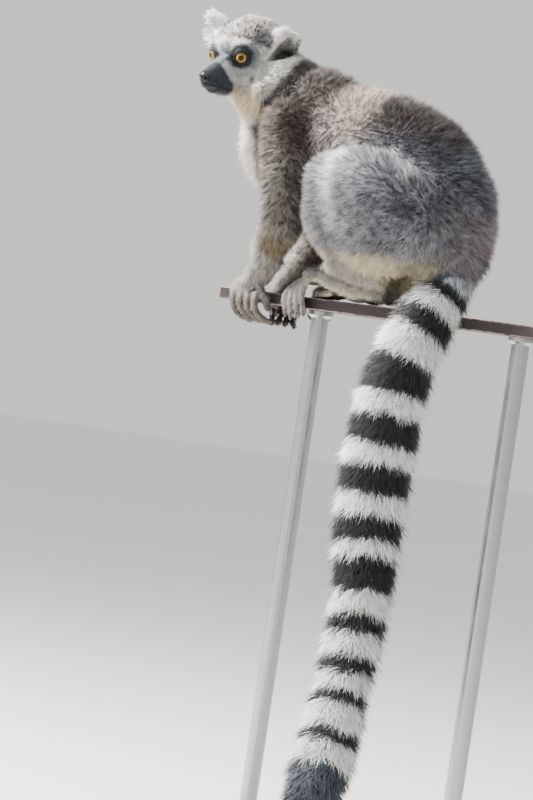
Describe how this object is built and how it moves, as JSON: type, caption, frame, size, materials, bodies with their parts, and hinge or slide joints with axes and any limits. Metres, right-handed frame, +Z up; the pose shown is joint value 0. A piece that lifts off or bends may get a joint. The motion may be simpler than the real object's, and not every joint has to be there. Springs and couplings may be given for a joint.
{
  "type": "life-size ring-tailed lemur model",
  "caption": "Life-size still model of a ring-tailed lemur crouched on a short flat rail, head turned to its left and banded tail hanging, on a plain display stand.",
  "frame": {"origin": "centre of the underside of the stand's base, which is also the centre of the whole object's plan", "axes": "+Z up; the rail runs along Y and the animal's chest faces -Y; its left side is +X, and its head is turned to look along +X"},
  "size_m": [0.33, 0.52, 0.8843],
  "materials": {
    "coat": "dense soft fur: grey-brown back, cool grey thighs, white face and chest, black and white banded tail",
    "eye": "wet glossy amber iris with a small dark pupil",
    "rail_paint": "old dark red-brown paint, worn on the upper edges",
    "stand_steel": "brushed",
    "stand_board": "black satin lacquer"
  },
  "bodies": {
    "root": {"belly": "coat", "chest": "coat", "ear_left": "coat", "ear_right": "coat", "eye_left": "eye", "eye_right": "eye", "foot_left": "coat", "foot_right": "coat", "forearm_left": "coat", "forearm_right": "coat", "hand_left": "coat", "hand_right": "coat", "head": "coat", "neck": "coat", "perch_rail": "rail_paint", "rump": "coat", "shin_left": "coat", "shin_right": "coat", "stand_base": "stand_board", "stand_rod_front": "stand_steel", "stand_rod_rear": "stand_steel", "tail_1": "coat", "tail_2": "coat", "tail_3": "coat", "tail_4": "coat", "tail_5": "coat", "tail_6": "coat", "thigh_left": "coat", "thigh_right": "coat", "upper_arm_left": "coat", "upper_arm_right": "coat"}
  },
  "joints": []
}
